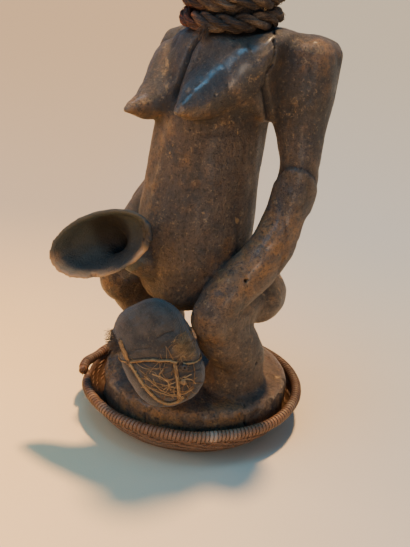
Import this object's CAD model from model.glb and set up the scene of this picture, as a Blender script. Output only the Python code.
# %% [markdown]
# # A carved power figure in its basket
# A figure is cut from one block of hardwood and stands in a shallow woven basket. A fibre
# rope is wound round its neck and a cloth charm bundle is lashed in front of its knees.
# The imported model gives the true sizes. Each step below puts the real surface on one piece
# of it: first the mesh, then its marks of use, then its material.

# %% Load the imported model
import math
import bpy
import numpy as np
from mathutils import Matrix, Vector
from mathutils.bvhtree import BVHTree


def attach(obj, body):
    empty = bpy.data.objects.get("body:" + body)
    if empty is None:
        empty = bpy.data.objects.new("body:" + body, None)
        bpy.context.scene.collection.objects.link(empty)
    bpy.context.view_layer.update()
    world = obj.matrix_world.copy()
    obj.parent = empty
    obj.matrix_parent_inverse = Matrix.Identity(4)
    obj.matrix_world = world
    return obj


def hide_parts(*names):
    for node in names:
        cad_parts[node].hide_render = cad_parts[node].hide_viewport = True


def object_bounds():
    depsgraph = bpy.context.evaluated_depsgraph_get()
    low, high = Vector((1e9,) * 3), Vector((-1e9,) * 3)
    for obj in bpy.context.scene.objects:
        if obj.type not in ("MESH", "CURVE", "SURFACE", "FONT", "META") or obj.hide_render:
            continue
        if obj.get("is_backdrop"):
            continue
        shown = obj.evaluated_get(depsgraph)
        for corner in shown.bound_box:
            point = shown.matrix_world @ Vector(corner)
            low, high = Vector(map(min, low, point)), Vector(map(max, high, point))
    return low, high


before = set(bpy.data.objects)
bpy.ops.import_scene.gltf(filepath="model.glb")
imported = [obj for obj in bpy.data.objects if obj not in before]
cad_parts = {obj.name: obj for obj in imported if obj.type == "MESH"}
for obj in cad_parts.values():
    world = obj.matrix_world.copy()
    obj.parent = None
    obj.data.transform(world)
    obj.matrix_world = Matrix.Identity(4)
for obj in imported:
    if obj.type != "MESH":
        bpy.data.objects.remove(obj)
cad_box = [list(corner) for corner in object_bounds()]
rng = np.random.default_rng(11)
print("model box in metres:", cad_box)

# %% [markdown]
# ## Working with many points at once
# A carved surface needs some hundred thousand points, and moving each one in a Python loop
# is slow. Blender hands a mesh over as plain arrays with foreach_get, NumPy moves all the
# points in one step, and foreach_set puts them back.


# %% Meshes to arrays and back
def points_of(mesh):
    values = np.empty(len(mesh.vertices) * 3)
    mesh.vertices.foreach_get("co", values)
    return values.reshape(-1, 3)


def normals_of(mesh):
    values = np.empty(len(mesh.vertices) * 3)
    mesh.vertex_normals.foreach_get("vector", values)
    return values.reshape(-1, 3)


def move_points(mesh, points):
    mesh.vertices.foreach_set("co", points.ravel())
    mesh.update()


def store_value(mesh, name, values):
    """Keeps one number per point on the mesh, for its material to read."""
    layer = mesh.attributes.get(name) or mesh.attributes.new(name, "FLOAT", "POINT")
    layer.data.foreach_set("value", np.asarray(values, dtype=np.float32))


def shade_smooth(mesh):
    mesh.polygons.foreach_set("use_smooth", np.ones(len(mesh.polygons), dtype=bool))


def new_piece(name, points, faces, material):
    mesh = bpy.data.meshes.new(name)
    mesh.from_pydata(np.asarray(points).tolist(), [], faces)
    shade_smooth(mesh)
    mesh.materials.append(material)
    mesh.update()
    piece = bpy.data.objects.new(name, mesh)
    bpy.context.scene.collection.objects.link(piece)
    return piece


# %% [markdown]
# Old wood is uneven at every scale. Lattice noise gives each corner of an invisible grid
# a random number and blends between them, so near points move alike. Layers of it at
# half the size and half the strength add the finer unevenness.


# %% Smooth random unevenness
KEY_X, KEY_Y, KEY_Z = 73856093, 19349663, 83492791      # tell the grid's corners apart
KEY_SEED = 2654435761
STIRRING = ((15, 2246822519), (13, 3266489917))         # shift and factor of each stir
LOW_BITS = 0xFFFFFFFF


def unevenness(points, size, layers=1, seed=0):
    """A smooth random value from about -1 to 1 at each point, with bumps of that size."""
    total = np.zeros(len(points))
    for layer in range(layers):
        spread = np.asarray(points) * (2 ** layer) / size
        cell = np.floor(spread).astype(np.int64)
        part = spread - cell
        part = part * part * (3 - 2 * part)
        for corner in np.ndindex(2, 2, 2):
            at = cell + corner
            mixed = at[:, 0] * KEY_X ^ at[:, 1] * KEY_Y ^ at[:, 2] * KEY_Z
            mixed = (mixed ^ (seed + 31 * layer + 1) * KEY_SEED) & LOW_BITS
            for shift, factor in STIRRING:
                mixed = ((mixed ^ (mixed >> shift)) * factor) & LOW_BITS
            value = ((mixed ^ (mixed >> 16)) & 0xFFFF) / 32767.5 - 1
            share = np.prod(np.where(corner, part, 1 - part), axis=1)
            total += value * share / 2 ** layer
    return total


def fade(values, start, end):
    """0 before start, 1 after end and a smooth change between them."""
    t = np.clip((values - start) / (end - start), 0, 1)
    return t * t * (3 - 2 * t)


def band(values, start, full, fall, end):
    """Rises from 0 to 1 between start and full, and falls back between fall and end."""
    return fade(values, start, full) * (1 - fade(values, fall, end))


def distance_to(points, place):
    return np.linalg.norm(points - place, axis=1)


# %% [markdown]
# ## Effects that several finishes share
# Grain, small pits, dust and loose fibres show on more than one piece. Each is built once as
# a node group with named sockets, and every material sets it to its own strength. A group
# only puts out colours, masks and values, so the shader itself stays in the material.


# %% Building node trees
def fill_sockets(tree, item, inputs):
    """Gives each named or numbered socket a value, or links another node's socket to it."""
    for key, value in inputs.items():
        if isinstance(value, bpy.types.NodeSocket):
            tree.links.new(value, item.inputs[key])
        else:
            item.inputs[key].default_value = value
    return item


def add(tree, kind, inputs=None, **settings):
    """Adds a node with its settings and fills its sockets."""
    item = tree.nodes.new(kind)
    for key, value in settings.items():
        setattr(item, key, value)
    return fill_sockets(tree, item, inputs or {})


def start_group(name, inputs, outputs):
    """A node group of number sockets; inputs maps each name to its first value."""
    group = bpy.data.node_groups.new(name, "ShaderNodeTree")
    for label, value in inputs.items():
        socket = group.interface.new_socket(label, in_out="INPUT", socket_type="NodeSocketFloat")
        socket.default_value = value
    for label in outputs:
        group.interface.new_socket(label, in_out="OUTPUT", socket_type="NodeSocketFloat")
    return group, group.nodes.new("NodeGroupInput"), group.nodes.new("NodeGroupOutput")


def place_group(tree, group, inputs):
    return add(tree, "ShaderNodeGroup", inputs, node_tree=group)


def remap(tree, value, low, high, new_low=0.0, new_high=1.0):
    """Stretches the part of a value between low and high over new_low to new_high."""
    return add(tree, "ShaderNodeMapRange",
               {0: value, 1: low, 2: high, 3: new_low, 4: new_high},
               interpolation_type="SMOOTHSTEP").outputs[0]


def blend_colours(tree, amount, first, second, mode="MIX"):
    return add(tree, "ShaderNodeMix", {0: amount, 6: first, 7: second},
               data_type="RGBA", blend_type=mode).outputs[2]


def calculate(tree, operation, first, second=0.0, third=0.0):
    return add(tree, "ShaderNodeMath", {0: first, 1: second, 2: third},
               operation=operation).outputs[0]


def times(tree, first, second):
    return calculate(tree, "MULTIPLY", first, second)


def add_shares(tree, base, shares):
    """Adds a share of each of the other values to a base."""
    for value, share in shares:
        base = calculate(tree, "MULTIPLY_ADD", value, share, base)
    return base


def object_place(tree):
    return add(tree, "ShaderNodeTexCoord").outputs["Object"]


def noise_at(tree, place, scale, detail, roughness=0.5, distortion=0.0):
    return add(tree, "ShaderNodeTexNoise",
               {"Vector": place, "Scale": scale, "Detail": detail, "Roughness": roughness,
                "Distortion": distortion}).outputs[0]


def stored_value(tree, label):
    """A number that store_value kept on the mesh."""
    return add(tree, "ShaderNodeAttribute", attribute_name=label).outputs["Fac"]


def place_along(tree, place, direction):
    """How far a place lies along a direction."""
    return add(tree, "ShaderNodeVectorMath", {0: place, 1: tuple(direction)},
               operation="DOT_PRODUCT").outputs["Value"]


# %% [markdown]
# Grain in carved hardwood runs up the log as long thin streaks. Noise stretched along Z
# gives them without any picture, and works on a surface that curves in every direction.


# %% Grain
def make_grain_group():
    group, start, end = start_group("wood grain", {"Stretch": 0.12, "Fineness": 300.0},
                                    ("Streaks", "Fibres"))
    squeeze = add(group, "ShaderNodeCombineXYZ", {0: 1.0, 1: 1.0, 2: start.outputs["Stretch"]})
    along = add(group, "ShaderNodeVectorMath", {0: object_place(group), 1: squeeze.outputs[0]},
                operation="MULTIPLY").outputs[0]
    broad = times(group, start.outputs["Fineness"], 0.25)
    fill_sockets(group, end, {
        "Streaks": noise_at(group, along, broad, 4.0, distortion=0.4),
        "Fibres": noise_at(group, along, start.outputs["Fineness"], 3.0)})
    return group


grain_group = make_grain_group()

# %% [markdown]
# Insects, knocks and lost crust leave small holes. A Voronoi texture measures the distance
# to scattered points; cutting it off close to the points leaves round pits, and a broad
# noise keeps them in clusters instead of evenly spread.


# %% Pits
def make_pit_group():
    group, start, end = start_group(
        "small pits", {"Spacing": 120.0, "Width": 0.2, "Coverage": 0.5}, ("Pits",))
    place = object_place(group)
    cells = add(group, "ShaderNodeTexVoronoi",
                {"Vector": place, "Scale": start.outputs["Spacing"], "Randomness": 1.0})
    hole = add(group, "ShaderNodeMapRange",
               {0: cells.outputs["Distance"], 1: 0.0, 2: start.outputs["Width"], 3: 1.0, 4: 0.0})
    clusters = noise_at(group, place, 28.0, 3.0)
    lowest = calculate(group, "SUBTRACT", 1.0, start.outputs["Coverage"])
    highest = calculate(group, "ADD", lowest, 0.12)
    where = add(group, "ShaderNodeMapRange", {0: clusters, 1: lowest, 2: highest})
    fill_sockets(group, end, {"Pits": times(group, hole.outputs[0], where.outputs[0])})
    return group


pit_group = make_pit_group()

# %% [markdown]
# Dust settles on faces that look up, and only in patches. The Z part of the surface normal
# says how level a face lies, and noise breaks the layer up.


# %% Dust
def make_dust_group():
    group, start, end = start_group("settled dust", {"Amount": 0.5, "Patches": 40.0}, ("Dust",))
    level = add(group, "ShaderNodeSeparateXYZ",
                {0: add(group, "ShaderNodeNewGeometry").outputs["Normal"]}).outputs["Z"]
    patches = noise_at(group, object_place(group), start.outputs["Patches"], 6.0, 0.7)
    dust = times(group, remap(group, level, 0.1, 0.95), remap(group, patches, 0.42, 0.68))
    fill_sockets(group, end, {"Dust": times(group, dust, start.outputs["Amount"])})
    return group


dust_group = make_dust_group()

# %% [markdown]
# A strand of cane, rope yarn or raffia has hair-fine fibres that follow its length. Every
# strand mesh below carries three numbers per point: how far along the strand it lies, how
# far round it, and a number of the strand's own. Noise read with those three follows each
# bend, and differs from strand to strand.


# %% Fibres that follow a strand
def make_fibre_group():
    group, start, end = start_group("strand fibres", {"Along": 60.0, "Around": 9.0},
                                    ("Fibres", "Blotches", "Own"))
    own = stored_value(group, "own")
    apart = times(group, own, 37.0)         # moves each strand to noise of its own
    along = times(group, stored_value(group, "run"), start.outputs["Along"])
    around = times(group, stored_value(group, "turn"), start.outputs["Around"])
    fine = add(group, "ShaderNodeCombineXYZ", {0: along, 1: around, 2: apart}).outputs[0]
    slow = times(group, along, 0.5)
    broad = add(group, "ShaderNodeCombineXYZ", {0: slow, 1: 0.0, 2: apart}).outputs[0]
    fill_sockets(group, end, {"Fibres": noise_at(group, fine, 1.0, 5.0, 0.65),
                              "Blotches": noise_at(group, broad, 0.6, 2.0), "Own": own})
    return group


fibre_group = make_fibre_group()


# %% [markdown]
# Every finish below starts from the same Principled shader and ends in the same sockets.
# Two helpers do the start and the end, and a third lays one tone over another, the way
# that stain, soot and dust came to lie on the real thing.


# %% Starting and finishing a material
def start_material(name, slot_colour):
    """A material with its Principled shader; slot_colour is what a plain preview shows."""
    material = bpy.data.materials.new(name)
    material.use_nodes = True
    material.diffuse_color = (*slot_colour, 1.0)
    tree = material.node_tree
    return material, tree, tree.nodes["Principled BSDF"]


def finish_surface(tree, shader, colour, roughness, height, depth):
    """Feeds colour, roughness and bump; depth is the bump's real size in metres."""
    fill_sockets(tree, shader, {"Base Color": colour, "Roughness": roughness})
    bump = add(tree, "ShaderNodeBump", {"Height": height, "Distance": depth, "Strength": 1.0})
    tree.links.new(bump.outputs[0], shader.inputs["Normal"])


def lay_over(tree, colour, layers):
    """Lays tones over a colour, one after another; each layer is an amount and a tone."""
    for amount, tone in layers:
        colour = blend_colours(tree, amount, colour, (*tone, 1))
    return colour


# The photograph was taken from 42 degrees round. Two level directions of that view: across
# it to the right, and towards the place it was taken from.
TO_RIGHT = (0.743, 0.669, 0.0)
TO_FRONT = (0.669, -0.743, 0.0)


# %% [markdown]
# ## The carved figure
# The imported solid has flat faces, and the real figure was shaped with an adze and a knife
# and then handled for years. A voxel remesh turns the solid into an even skin of small
# faces, and melting that skin turns the flat faces into round limbs.

# %% Sizes for the carving
SKIN_STEP = 0.0015    # width of one face of the skin
SKIN_TRIANGLES = 190_000
MELT_ROUNDS = 150
BEND_STEPS = 60
TORSO_MELT = 0.042                              # melting reach of the torso, in metres
MELT_EASE = 20                                  # evens out the solver's steps

TRUMPET_MOUTH = np.array([-0.032, -0.137, 0.248])
TRUMPET_REACH = 0.082
TRUMPET_SIDE = math.radians(18)                 # the mouth looks a little to the left side
TRUMPET_AXIS = np.array([math.sin(TRUMPET_SIDE), -math.cos(TRUMPET_SIDE), 0.0])
SHADE_RISE = 0.007                              # the soot in the throat lies a little high
FACE_BOTTOM = 0.540
FACE_FRONT = -0.012
BASE_TOP = 0.061
BASE_RADIUS = 0.117
CHEST_HOLLOW = np.array([0.058, -0.012, 0.463])    # between the left breast and the shoulder
LOG_SHIFT = 0.004                               # the base stands a little to the left side


# %% An even skin over the solid
def voxel_skin(node, name, size):
    piece = bpy.data.objects.new(name, node.data.copy())
    bpy.context.scene.collection.objects.link(piece)
    remesh = piece.modifiers.new("voxels", "REMESH")
    remesh.mode = "VOXEL"
    remesh.voxel_size = size
    return apply_modifiers(piece)


def apply_modifiers(piece):
    """Keeps what the modifiers make as the piece's own mesh."""
    bpy.context.view_layer.update()
    seen = piece.evaluated_get(bpy.context.evaluated_depsgraph_get())
    mesh = bpy.data.meshes.new_from_object(seen)
    piece.modifiers.clear()
    piece.data = mesh
    mesh.name = piece.name
    return piece


figure = voxel_skin(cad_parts["figure"], "carved_figure", SKIN_STEP)
print("figure skin:", len(figure.data.vertices), "points")


# %% Neighbours on the skin
class Neighbours:
    """Compares each point's value with those it shares an edge with."""

    def __init__(self, mesh):
        pairs = np.empty(len(mesh.edges) * 2, dtype=np.int32)
        mesh.edges.foreach_get("vertices", pairs)
        self.first, self.second = pairs.reshape(-1, 2).T
        self.size = len(mesh.vertices)
        self.counts = np.maximum(np.bincount(pairs, minlength=self.size), 1)

    def total(self, values):
        if values.ndim == 2:
            return np.stack([self.total(column) for column in values.T], axis=1)
        found = np.bincount(self.first, values[self.second], self.size)
        return found + np.bincount(self.second, values[self.first], self.size)

    def mean(self, values):
        return (self.total(values).T / self.counts).T

    def pull(self, values):
        return (values.T * self.counts).T - self.total(values)

    def spread(self, values, steps):
        for _ in range(steps):
            values = (values + self.mean(values)) / 2
        return values


def inward_bend(mesh, neighbours, steps):
    """How far each point lies below its surroundings, in metres; ridges are negative."""
    points = points_of(mesh)
    return ((neighbours.spread(points, steps) - points) * normals_of(mesh)).sum(axis=1)


# %% [markdown]
# Plain smoothing shrinks a form, and breasts and shoulders would lose their outline. Here
# each point is held to its own place by a weak spring while the skin resists bending like
# a thin plate. Waves shorter than the melting reach go, longer ones keep their size. The
# equations for all points are solved together by conjugate gradients.


# %% Melting the flat faces
def melt(mesh, neighbours, reach, rounds):
    """Smooths away waves shorter than reach, a length in metres for each point."""
    start = points_of(mesh)
    step = np.maximum(reach / SKIN_STEP, 2.05)
    hold = (2 * (1 - np.cos(2 * np.pi / step)))[:, None] ** 2
    points = start.copy()
    left = -neighbours.pull(neighbours.pull(points))
    eased = left / (hold + MELT_EASE)
    course = eased.copy()
    size = (left * eased).sum()
    for _ in range(rounds):
        turned = hold * course + neighbours.pull(neighbours.pull(course))
        share = size / (course * turned).sum()
        points += share * course
        left -= share * turned
        eased = left / (hold + MELT_EASE)
        new_size = (left * eased).sum()
        course = eased + course * (new_size / size)
        size = new_size
    move_points(mesh, points)
    return np.linalg.norm(points - start, axis=1)


# %% [markdown]
# A torso is a large round form, and a lip, an ear or a nose is a small one. A single
# melting reach would leave the torso faceted or wash the face away, so each place gets its
# own. Creases between two forms keep the shortest reach, because a knife left them sharp.

# %% Where the skin melts more and where less
near_skin = Neighbours(figure.data)
skin = points_of(figure.data)
side = np.abs(skin[:, 0])
height = skin[:, 2]
on_limb = fade(side, 0.060, 0.070) * fade(height, 0.075, 0.090)
on_breast = (1 - fade(skin[:, 1], -0.055, -0.035)) * fade(height, 0.355, 0.370)
to_tip = fade(-skin[:, 1], 0.045, 0.090)
on_shoulder = fade(side, 0.050, 0.065) * fade(height, 0.420, 0.440)
on_base = 1 - fade(height, 0.066, 0.078)
near_mouth = 1 - fade(distance_to(skin, TRUMPET_MOUTH), TRUMPET_REACH, TRUMPET_REACH + 0.012)
near_face = fade(height, FACE_BOTTOM, FACE_BOTTOM + 0.01) * (
    1 - fade(skin[:, 1], FACE_FRONT - 0.012, FACE_FRONT)
)
near_ears = fade(height, 0.58, 0.59) * fade(side, 0.043, 0.046)
chest = np.linalg.norm((skin - CHEST_HOLLOW) * (1, 1, 1.2), axis=1)
on_chest = 1 - fade(chest, 0.032, 0.055)
creased = fade(inward_bend(figure.data, near_skin, 3) / SKIN_STEP, 0.10, 0.30)
creased = np.minimum(1, near_skin.spread(creased, 3) * 2.0)
creased *= 1 - on_chest
reach = np.full(len(skin), TORSO_MELT)
for wanted, where in (      # each place has its own melting reach, in metres
        (0.030, on_limb), (0.024 - 0.014 * to_tip, on_breast), (0.026, on_shoulder),
        (0.020, on_base), (0.015, near_mouth), (0.0085, np.maximum(near_face, near_ears)),
        (0.060, on_chest), (0.007, creased)):
    reach += (wanted - reach) * where
reach = np.exp(near_skin.spread(np.log(reach), 6))
moved = melt(figure.data, near_skin, reach, MELT_ROUNDS)
print("skin moved by", round(float(moved.mean() * 1000), 2), "mm, at most",
      round(float(moved.max() * 1000), 2))

# %% [markdown]
# ## Marks of the tool, of drying and of use
# An adze leaves shallow facets that follow the limb, drying opens cracks along the grain,
# and knocks break the edge of the base and the lip of the trumpet. Each mark moves the
# skin's points along their normals by a small depth, so light and shadow show it from
# every side.

# %% Tool marks and wear
skin = points_of(figure.data)
outward = normals_of(figure.data)
log_grain = skin * (1.0, 1.0, 0.35)             # marks are longer along the log
depth = 0.00055 * unevenness(log_grain, 0.016, 2, seed=3)
depth += 0.00022 * unevenness(log_grain, 0.0052, 2, seed=5)
facets = np.abs(unevenness(skin * (1.0, 1.0, 0.6), 0.024, 1, seed=8))
depth -= 0.0007 * (1 - fade(facets, 0.0, 0.28))
depth *= (1 - 0.8 * near_face) * (1 - 0.6 * near_mouth)     # finer work has finer marks


# %% [markdown]
# Cracks, grooves and crests all follow a line over the wood. A few places give the line,
# and each point of the skin is asked how far away from it it lies.


# %% Smooth lines
def smooth_path(places, steps):
    """A smooth line with evenly many points through the places."""
    places = np.asarray(places, dtype=float)
    if len(places) == 1:
        return np.repeat(places, steps, axis=0)
    knots = np.linspace(0, 1, len(places))
    line = np.stack([np.interp(np.linspace(0, 1, steps), knots, column)
                     for column in places.T], axis=1)
    for _ in range(max(2, steps // 8)):
        line[1:-1] = (line[:-2] + 2 * line[1:-1] + line[2:]) / 4
    return line


# %% Drying cracks
def distance_to_line(points, line):
    """Distance to a bent line, and how far along it the nearest place lies, from 0 to 1."""
    nearest = np.full(len(points), 1e9)
    share = np.zeros(len(points))
    for number, (start, end) in enumerate(zip(line[:-1], line[1:])):
        along = end - start
        t = np.clip(((points - start) @ along) / (along @ along), 0, 1)
        away = np.linalg.norm(points - start - t[:, None] * along, axis=1)
        closer = away < nearest
        nearest[closer] = away[closer]
        share[closer] = (number + t[closer]) / (len(line) - 1)
    return nearest, share


CRACKS = {      # points along each crack, half width, depth
    "shoulder": ([(0.033, 0.051, 0.490), (0.055, 0.028, 0.488), (0.067, 0.015, 0.486),
                  (0.077, 0.003, 0.479), (0.079, 0.004, 0.471), (0.078, 0.003, 0.464),
                  (0.078, 0.003, 0.457), (0.078, -0.002, 0.451), (0.077, -0.005, 0.446),
                  (0.077, -0.003, 0.436), (0.077, -0.002, 0.426)], 0.0022, 0.0065),
    "base_front": ([(0.100, -0.016, 0.063), (0.108, -0.021, 0.062), (0.114, -0.026, 0.056),
                    (0.116, -0.028, 0.044), (0.117, -0.025, 0.030)], 0.0013, 0.0050),
    "base_left": ([(0.010, -0.088, 0.064), (0.018, -0.101, 0.063), (0.026, -0.109, 0.058),
                   (0.031, -0.113, 0.045), (0.034, -0.112, 0.030)], 0.0013, 0.0045),
    "back": ([(0.022, 0.070, 0.440), (0.019, 0.068, 0.400), (0.021, 0.066, 0.350),
              (0.017, 0.063, 0.300), (0.019, 0.060, 0.262)], 0.0012, 0.0040),
    "crown": ([(0.010, 0.072, 0.640), (0.012, 0.060, 0.672), (0.008, 0.036, 0.692),
               (0.009, 0.012, 0.697)], 0.0010, 0.0028),
}
GROOVES = {     # cut with a gouge: points, half width, depth
    "armpit": ([(0.077, -0.006, 0.438), (0.077, -0.004, 0.431), (0.076, 0.000, 0.422),
                (0.076, 0.004, 0.413), (0.075, 0.008, 0.404), (0.075, 0.013, 0.394),
                (0.074, 0.018, 0.382)], 0.0070, 0.0045),
    "between breasts": ([(0.006, -0.023, 0.482), (0.006, -0.033, 0.476), (0.003, -0.038, 0.470),
                         (0.000, -0.043, 0.460), (0.001, -0.048, 0.450), (0.000, -0.051, 0.440),
                         (-0.001, -0.054, 0.430), (-0.003, -0.057, 0.414),
                         (-0.004, -0.060, 0.402)], 0.0055, 0.0045),
}
cracked = np.zeros(len(skin))
wander = skin + 0.0003 * np.stack(
    [unevenness(skin, 0.009, 2, seed=20 + axis) for axis in range(3)], axis=1)
for line, width, bottom in CRACKS.values():
    away, share = distance_to_line(wander, np.array(line))
    ends = np.clip(4 * np.minimum(share, 1 - share) + 0.25, 0, 1)
    hit = 1 - fade(away, width * 0.35 * ends, width * ends)
    depth -= bottom * ends * hit
    cracked = np.maximum(cracked, hit)
shaded = np.zeros(len(skin))
for line, width, bottom in GROOVES.values():
    away, share = distance_to_line(skin, np.array(line))
    ends = fade(np.minimum(share, 1 - share), 0.0, 0.18)
    hit = (1 - fade(away, 0, width)) * ends
    depth -= bottom * hit
    shaded = np.maximum(shaded, hit ** 2)
print("cracked points:", int((cracked > 0.5).sum()))

# %% [markdown]
# The breasts were carved as long wedges: a crest runs from each tip up to the shoulder,
# and hands polished it. The forearms were cut as blocks that stand a little proud of the
# upper arms. Both are raised from the same skin, because they are too slight to need
# pieces of their own.

# %% Crests, elbow steps and the filled chest
CRESTS = {      # points along the crest, half width, height, how polished
    "left breast": ([(0.039, -0.094, 0.411), (0.040, -0.076, 0.424), (0.043, -0.063, 0.431),
                     (0.047, -0.051, 0.439), (0.055, -0.034, 0.451), (0.063, -0.017, 0.462),
                     (0.071, -0.006, 0.469)], 0.034, 0.0052, 1.0),
    "right breast": ([(-0.037, -0.090, 0.404), (-0.041, -0.074, 0.414), (-0.046, -0.060, 0.424),
                      (-0.049, -0.046, 0.436), (-0.047, -0.036, 0.450), (-0.042, -0.028, 0.464)],
                     0.028, 0.0046, 0.25),
    "outer side of the right breast": (
        [(-0.050, -0.082, 0.408), (-0.064, -0.058, 0.420), (-0.072, -0.036, 0.436),
         (-0.074, -0.014, 0.452)], 0.030, 0.0050, 0.0),
    "shoulder": ([(0.116, 0.050, 0.470), (0.117, 0.062, 0.452), (0.117, 0.067, 0.420)],
                 0.016, 0.0, 0.55),
    "forearm": ([(0.112, 0.014, 0.300), (0.111, 0.004, 0.282), (0.109, -0.008, 0.266),
                 (0.106, -0.022, 0.247), (0.103, -0.034, 0.230)], 0.013, 0.0006, 0.9),
}
polished = np.zeros(len(skin))
for line, width, height_up, shine in CRESTS.values():
    away, share = distance_to_line(skin, smooth_path(line, 24))
    ends = fade(np.minimum(share, 1 - share), -0.05, 0.22)
    depth += height_up * ends * (1 - np.clip(away / width, 0, 1) ** 1.6) ** 1.5
    polished = np.maximum(polished, shine * ends * (1 - fade(away, width * 0.2, width * 0.8)))
ELBOW_STEP = 0.3465             # height of the step, then how far it stands out and cuts in
ELBOW_RISE, ELBOW_CUT = 0.0016, 0.0012
CHEST_FILL = 0.0060
dome = 22 * (skin[:, 1] - 0.024) ** 2 + 40 * np.maximum(0, 0.105 - np.abs(skin[:, 0])) ** 2
over_step = skin[:, 2] - ELBOW_STEP + np.minimum(dome, 0.030)
on_arm = fade(np.abs(skin[:, 0]), 0.078, 0.084) * fade(skin[:, 1], -0.002, 0.010)
on_arm *= 1 - 0.7 * fade(skin[:, 1], 0.045, 0.070)
above = fade(over_step, -0.003, 0.0015)
depth += ELBOW_RISE * on_arm * (1 - above) * fade(over_step, -0.024, -0.006)
depth -= ELBOW_CUT * on_arm * above * (1 - fade(over_step, 0.003, 0.016))
filled = 1 - fade(np.linalg.norm((skin - CHEST_HOLLOW) * (1, 1, 1.3), axis=1), 0.004, 0.034)
depth += CHEST_FILL * filled * (1 - cracked)

# %% [markdown]
# Worm and nail holes are only a few points of the skin wide, so each is a place and a
# radius. The base lost wood where it rotted at its right front, and its upper edge and the
# trumpet's lip were chipped: there a seeded noise decides where wood is missing.

# %% Worm and nail holes
HOLES = [       # middle, radius
    ((0.039, -0.017, 0.476), 0.0017), ((0.104, -0.037, 0.226), 0.0020),
    ((0.101, 0.005, 0.104), 0.0021), ((0.092, -0.052, 0.214), 0.0012),
    ((0.053, -0.056, 0.424), 0.0010), ((0.024, -0.060, 0.382), 0.0011),
    ((0.066, -0.008, 0.257), 0.0010), ((-0.060, 0.046, 0.330), 0.0015),
    ((0.030, 0.078, 0.460), 0.0016), ((-0.048, 0.070, 0.180), 0.0018),
]
HOLE_DEPTH = 0.004
for middle, radius in HOLES:
    hit = 1 - fade(distance_to(skin, middle), radius * 0.7, radius * 1.25)
    depth -= HOLE_DEPTH * hit
    cracked = np.maximum(cracked, hit)

# %% Broken edges of the base and the trumpet
CHIP_DEPTH, EROSION_DEPTH = 0.0014, 0.0045
LIP_NOTCH = np.array([-0.040, -0.139, 0.209])
LIP_CHIP, NOTCH_DEPTH = 0.0008, 0.0045
CRUST_PLACE = np.array([0.024, -0.116, 0.272])
CRUST_THICK = 0.0026
turn = np.degrees(np.arctan2(skin[:, 1], skin[:, 0] - LOG_SHIFT)) % 360
edge_r = np.hypot(skin[:, 0] - LOG_SHIFT, skin[:, 1])
on_edge = fade(edge_r, BASE_RADIUS - 0.016, BASE_RADIUS - 0.003)
on_edge *= band(skin[:, 2], 0.034, 0.056, BASE_TOP + 0.006, BASE_TOP + 0.014)
chips = fade(unevenness(skin, 0.017, 3, seed=31), 0.25, 0.6)
eroded = band(turn, 200, 212, 238, 250)
worn_away = EROSION_DEPTH + 0.003 * unevenness(skin, 0.012, 3, seed=33)
depth -= on_edge * (CHIP_DEPTH * chips + eroded * worn_away)
low_rot = eroded * fade(edge_r, BASE_RADIUS - 0.02, BASE_RADIUS - 0.004) * (
    1 - fade(skin[:, 2], 0.030, 0.050))
depth -= low_rot * (0.003 + 0.004 * unevenness(skin, 0.014, 2, seed=35))

height_in_mouth = (skin - TRUMPET_MOUTH) @ TRUMPET_AXIS
on_lip = fade(height_in_mouth, -0.006, 0.001) * near_mouth
lip_chips = fade(unevenness(skin, 0.012, 2, seed=37), 0.35, 0.9)
lip_notch = 1 - fade(distance_to(skin, LIP_NOTCH), 0.003, 0.009)
crust = (1 - fade(distance_to(skin, CRUST_PLACE), 0.008, 0.020)) * near_mouth
shift = outward * depth[:, None]
shift -= TRUMPET_AXIS * (on_lip * (LIP_CHIP * lip_chips + NOTCH_DEPTH * lip_notch))[:, None]
rough_crust = crust * CRUST_THICK * (0.6 + unevenness(skin, 0.005, 2, seed=39))
shift += outward * rough_crust[:, None]
move_points(figure.data, skin + shift)

# %% [markdown]
# The material needs to know where hands rubbed the wood bright, where dirt stayed in the
# hollows and where the dark crust wore through to ochre wood. Comparing each point with
# its surroundings finds ridges and hollows at two sizes. The ochre places are set by hand,
# as a few soft balls on the knees, belly, breasts and edge.

# %% Rubbed, hollow and ochre places
OCHRE_PLACES = [    # middle, radius, strength
    ((0.098, -0.045, 0.235), 0.050, 1.0), ((0.106, -0.012, 0.258), 0.045, 1.0),
    ((0.080, -0.072, 0.205), 0.045, 0.3),
    ((-0.026, -0.070, 0.230), 0.040, 0.9), ((-0.030, -0.060, 0.300), 0.050, 0.7),
    ((-0.026, -0.062, 0.360), 0.045, 0.5), ((-0.078, -0.085, 0.172), 0.040, 0.4),
    ((0.070, -0.060, 0.150), 0.045, 0.6), ((0.100, -0.040, 0.060), 0.030, 0.8),
    ((0.020, -0.108, 0.050), 0.050, 0.8), ((0.078, -0.088, 0.045), 0.045, 0.7),
    ((0.050, -0.106, 0.045), 0.040, 0.7), ((0.106, -0.050, 0.045), 0.045, 0.6),
    ((-0.060, -0.090, 0.055), 0.045, 0.9),
    ((0.110, 0.040, 0.470), 0.035, 0.8), ((0.114, 0.053, 0.440), 0.025, 0.2),
    ((0.053, -0.060, 0.415), 0.030, 0.2), ((0.038, -0.092, 0.402), 0.020, 0.8),
    ((-0.036, -0.090, 0.400), 0.022, 0.8), ((0.102, 0.020, 0.280), 0.040, 0.9),
    ((-0.098, 0.020, 0.290), 0.040, 0.8), ((0.0, 0.085, 0.190), 0.060, 0.5),
    ((0.0, 0.090, 0.450), 0.050, 0.5), ((0.0, -0.040, 0.600), 0.040, 0.5),
]
skin = points_of(figure.data)
near_skin = Neighbours(figure.data)
fine_bend = inward_bend(figure.data, near_skin, 4) / 0.0004
broad_bend = inward_bend(figure.data, near_skin, BEND_STEPS) / 0.0022    # both about -1 to 1
patchy = unevenness(skin, 0.020, 4, seed=41)
rubbed = np.clip(-0.7 * broad_bend - 0.35 * fine_bend + 0.25 * patchy, 0, 1)
hollow = np.clip(0.55 * broad_bend + 0.5 * np.maximum(fine_bend, 0), 0, 1)
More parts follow.
